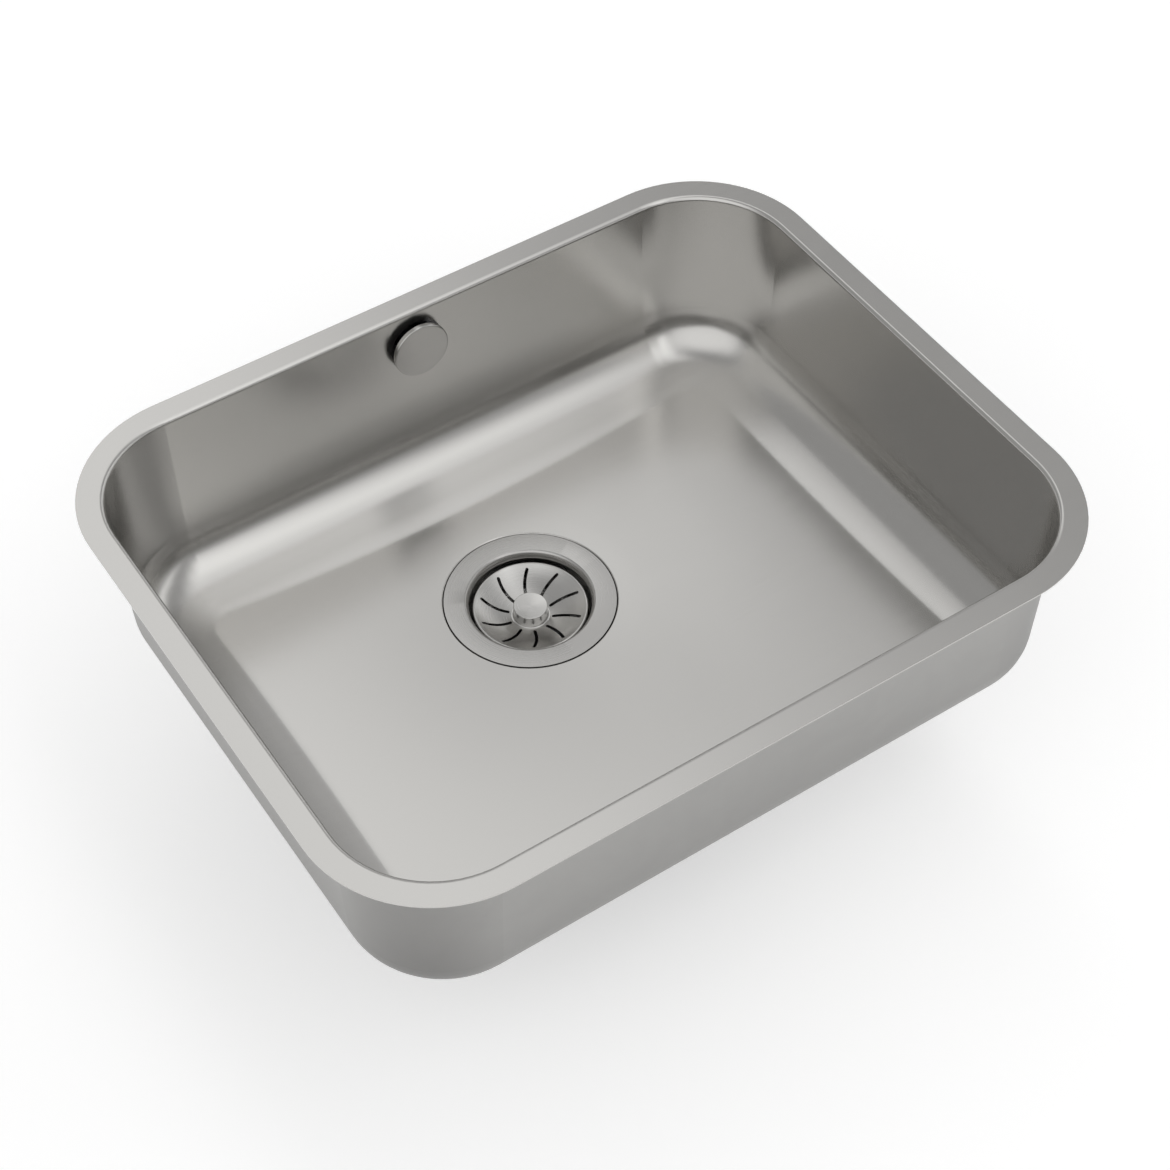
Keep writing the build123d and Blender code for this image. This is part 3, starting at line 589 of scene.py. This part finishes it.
cup = merged_copy(nodes["waste_flange"], "waste_cup")
bpy.ops.object.mode_set(mode="EDIT")
for depth in throat_cuts:
    bpy.ops.mesh.select_all(action="SELECT")
    bpy.ops.mesh.bisect(plane_co=(0, 0, lip_top - depth), plane_no=(0, 0, 1))
bpy.ops.object.mode_set(mode="OBJECT")
for vertex in cup.data.vertices:
    out = from_drain(vertex.co)
    depth = max(lip_top - vertex.co.z, 0)
    if depth >= throat_depth or not cup_wall_band[0] < out.length < cup_wall_band[1]:
        continue
    straight = cup_wall - cup_wall_taper * depth / cup_wall_depth
    if depth < cup_mouth_round:
        rise = cup_mouth_round - depth
        straight = cup_wall + cup_mouth_round - sqrt(cup_mouth_round ** 2 - rise ** 2)
    if depth < throat_roll:
        rolled = throat + throat_mouth * (1 - sqrt(1 - (1 - depth / throat_roll) ** 2))
    else:
        share = (depth - throat_roll) / (throat_depth - throat_roll)
        rolled = throat + share * share * (3 - 2 * share) * throat_flare
    vertex.co -= out.normalized() * (straight - rolled)
bpy.ops.object.shade_smooth_by_angle(angle=radians(35))
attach(cup, "sink")
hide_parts("waste_flange")
finish_in(waste_steel, cup)

# ---------------------------------------------------------------- strainer
# Spun dish with swirled slots and a turned knob on it. Both are finished brighter
# than the bowl, and their circular lines fan the light out.
strainer_steel = turned_steel(
    "strainer_steel", dark=(0.52, 0.513, 0.498), pale=(0.60, 0.593, 0.578),
    roughness=0.24, spread=0.05, depth=0.000003, anisotropy=0.8,
)
finish_in(strainer_steel, nodes["strainer_dish"], nodes["strainer_knob"])

# ---------------------------------------------------------------- overflow disc
# Plain pressed steel disc that clips over the overflow's carrier. Its face is satin
# brushed level, like the wall behind it.
disc_steel, tree, surface = new_finish("disc_steel")
satin(
    tree, strokes_along_sides(tree),
    dark=(0.45, 0.443, 0.43), pale=(0.50, 0.493, 0.48),
    roughness=0.22, spread=0.03, depth=0.000004,
)
finish_in(disc_steel, nodes["overflow_disc"])

# ---------------------------------------------------------------- plastic fittings
# Injection moulded black polypropylene: funnel, elbow, carrier and hose nuts. The
# funnel's outlet carries a 1 1/2 inch pipe thread, which is moulded with it.
fitting_plastic = moulding(
    "fitting_plastic", dark=(0.035, 0.035, 0.037), pale=(0.055, 0.055, 0.058),
    roughness=0.46, skin_scale=700, depth=0.00006,
)
finish_in(fitting_plastic, nodes["overflow_carrier"], nodes["overflow_elbow"],
          nodes["upper_hose_nut"], nodes["lower_hose_nut"])

thread_bottom, thread_top = -0.241, -0.215
thread_crest, thread_root = 0.0239, 0.02245
thread_height = thread_crest - thread_root
thread_pitch = 0.002309
thread_turns = 10
thread_steps = 96  # to the turn
thread_run_out = 1 / 3  # of a turn, at each end
thread_foot = -0.2  # how deep its foot is sunk in the wall, as a share of its height
thread_margin = 0.0002  # left plain at the outlet's end
thread_start = thread_bottom + 0.5 * thread_pitch + thread_margin
outlet_top = thread_top + 0.00001
outlet_band = 0.0002  # how far from the crest's radius the outlet's wall may lie

# The outlet's wall is set back to the thread's root
body = merged_copy(nodes["waste_body"], "waste_housing")
for vertex in body.data.vertices:
    out = from_drain(vertex.co)
    if vertex.co.z < outlet_top and abs(out.length - thread_crest) < outlet_band:
        vertex.co -= out.normalized() * thread_height
bpy.ops.object.shade_smooth_by_angle(angle=radians(14))
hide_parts("waste_body")

# The ridge's outline, in shares of its pitch and height, winds up the wall and sinks
# into it at both ends
ridge = ((-0.47, thread_foot), (-0.42, 0), (-0.22, 0.62), (-0.08, 1),
         (0.08, 1), (0.22, 0.62), (0.42, 0), (0.47, thread_foot))
bpy.ops.object.select_all(action="DESELECT")
bpy.ops.mesh.primitive_circle_add(vertices=len(ridge), radius=thread_pitch / 2)
thread = bpy.context.object
thread.name = thread.data.name = "outlet_thread"
for vertex, (rise, share) in zip(thread.data.vertices, ridge):
    vertex.co = (
        thread_root + share * thread_height, 0, thread_start + rise * thread_pitch
    )
winding = thread.modifiers.new("winding", "SCREW")
winding.screw_offset = thread_pitch
winding.iterations = thread_turns
winding.steps = winding.render_steps = thread_steps
winding.use_smooth_shade = False
bpy.ops.object.modifier_apply(modifier=winding.name)
thread_sunk = thread_root + thread_foot * thread_height
for vertex in thread.data.vertices:
    turn = atan2(vertex.co.y, vertex.co.x) / (2 * pi) % 1
    turn += round((vertex.co.z - thread_start) / thread_pitch - turn)
    fade = min(max(min(turn, thread_turns - turn) / thread_run_out, 0), 1)
    out = Vector((vertex.co.x, vertex.co.y, 0))
    vertex.co += out.normalized() * (1 - fade) * (thread_sunk - out.length)
    vertex.co += Vector((*drain, 0))
bpy.ops.object.mode_set(mode="EDIT")
merge_doubles()
bpy.ops.mesh.fill_holes(sides=len(ridge))
bpy.ops.mesh.select_all(action="SELECT")
bpy.ops.mesh.normals_make_consistent(inside=False)
bpy.ops.object.mode_set(mode="OBJECT")
bpy.ops.object.shade_smooth_by_angle(angle=radians(50))
for piece in (body, thread):
    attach(piece, "sink")
finish_in(fitting_plastic, body, thread)

# ---------------------------------------------------------------- plug and seals
# Dark acetal hub under the strainer, with a black rubber ring that closes the cup. The
# same rubber seals the waste, the overflow and the hose's cuffs.
hub_plastic = moulding(
    "hub_plastic", dark=(0.075, 0.075, 0.08), pale=(0.105, 0.105, 0.11),
    roughness=0.38, skin_scale=800, depth=0.00003,
)
seal_rubber = moulding(
    "seal_rubber", dark=(0.022, 0.022, 0.022), pale=(0.04, 0.04, 0.04),
    roughness=0.62, skin_scale=600, depth=0.00005,
)
finish_in(hub_plastic, nodes["plug_hub"])
finish_in(seal_rubber, nodes["plug_seal"], nodes["upper_seal"], nodes["lower_seal"],
          nodes["overflow_gasket"], nodes["upper_hose_washer"], nodes["lower_hose_washer"])

# ---------------------------------------------------------------- screws and inserts
# Turned stainless screws that draw the waste and the overflow together, brass inserts
# in the plastic bosses that take them, and the plug's sprung wire ring.
screw_steel = turned_steel(
    "screw_steel", dark=(0.44, 0.44, 0.44), pale=(0.52, 0.52, 0.52),
    roughness=0.25, spread=0.06, depth=0.000008, anisotropy=0.6,
)
spring_steel = turned_steel(
    "spring_steel", dark=(0.42, 0.42, 0.42), pale=(0.50, 0.50, 0.50),
    roughness=0.2, spread=0.04, depth=0.000004, anisotropy=0.3,
)
insert_brass = turned_steel(
    "insert_brass", dark=(0.62, 0.46, 0.21), pale=(0.74, 0.56, 0.28),
    roughness=0.28, spread=0.06, depth=0.000008, anisotropy=0.4,
)
finish_in(screw_steel, nodes["waste_screw"], nodes["overflow_bolt"])
finish_in(spring_steel, nodes["catch_ring"])
finish_in(insert_brass, nodes["waste_insert"], nodes["elbow_insert"])
